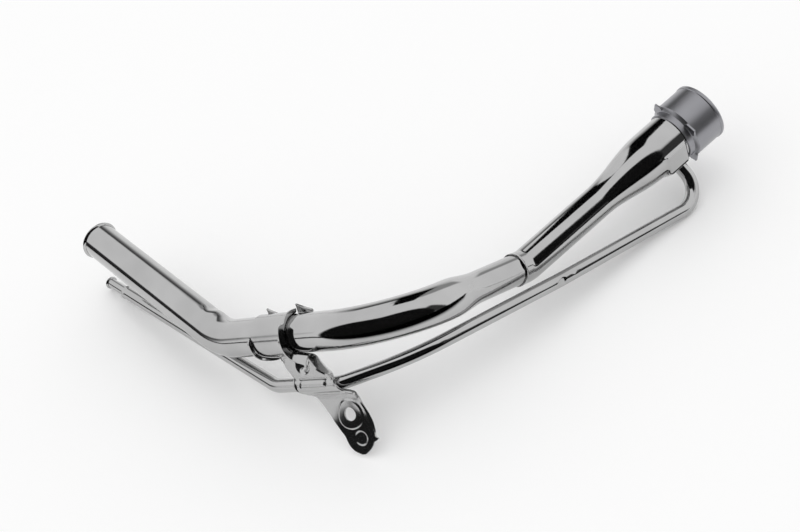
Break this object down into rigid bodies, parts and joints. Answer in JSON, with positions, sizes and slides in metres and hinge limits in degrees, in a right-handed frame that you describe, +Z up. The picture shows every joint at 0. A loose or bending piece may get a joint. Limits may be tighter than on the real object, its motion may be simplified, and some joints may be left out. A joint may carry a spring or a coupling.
{
  "type": "fuel filler neck",
  "caption": "Car fuel filler neck: bent filler pipe with flared head, thin vent pipe alongside and a sheet bracket, lying on a floor.",
  "frame": {"origin": "on the floor that the part lies on, under the middle of its bounding box", "axes": "+Z up from that floor; +X along the longest way of the part, from the hose end towards the head; +Y towards the open side of the bend, away from the bolt tab"},
  "size_m": [0.6868, 0.3472, 0.1182],
  "materials": {
    "coated_steel": "gloss",
    "inner_steel": "satin"
  },
  "bodies": {
    "root": {"filler_head": "coated_steel", "lower_filler_pipe": "coated_steel", "nozzle_restrictor": "inner_steel", "support_bracket": "coated_steel", "upper_filler_pipe": "coated_steel", "vent_pipe": "coated_steel"}
  },
  "joints": []
}
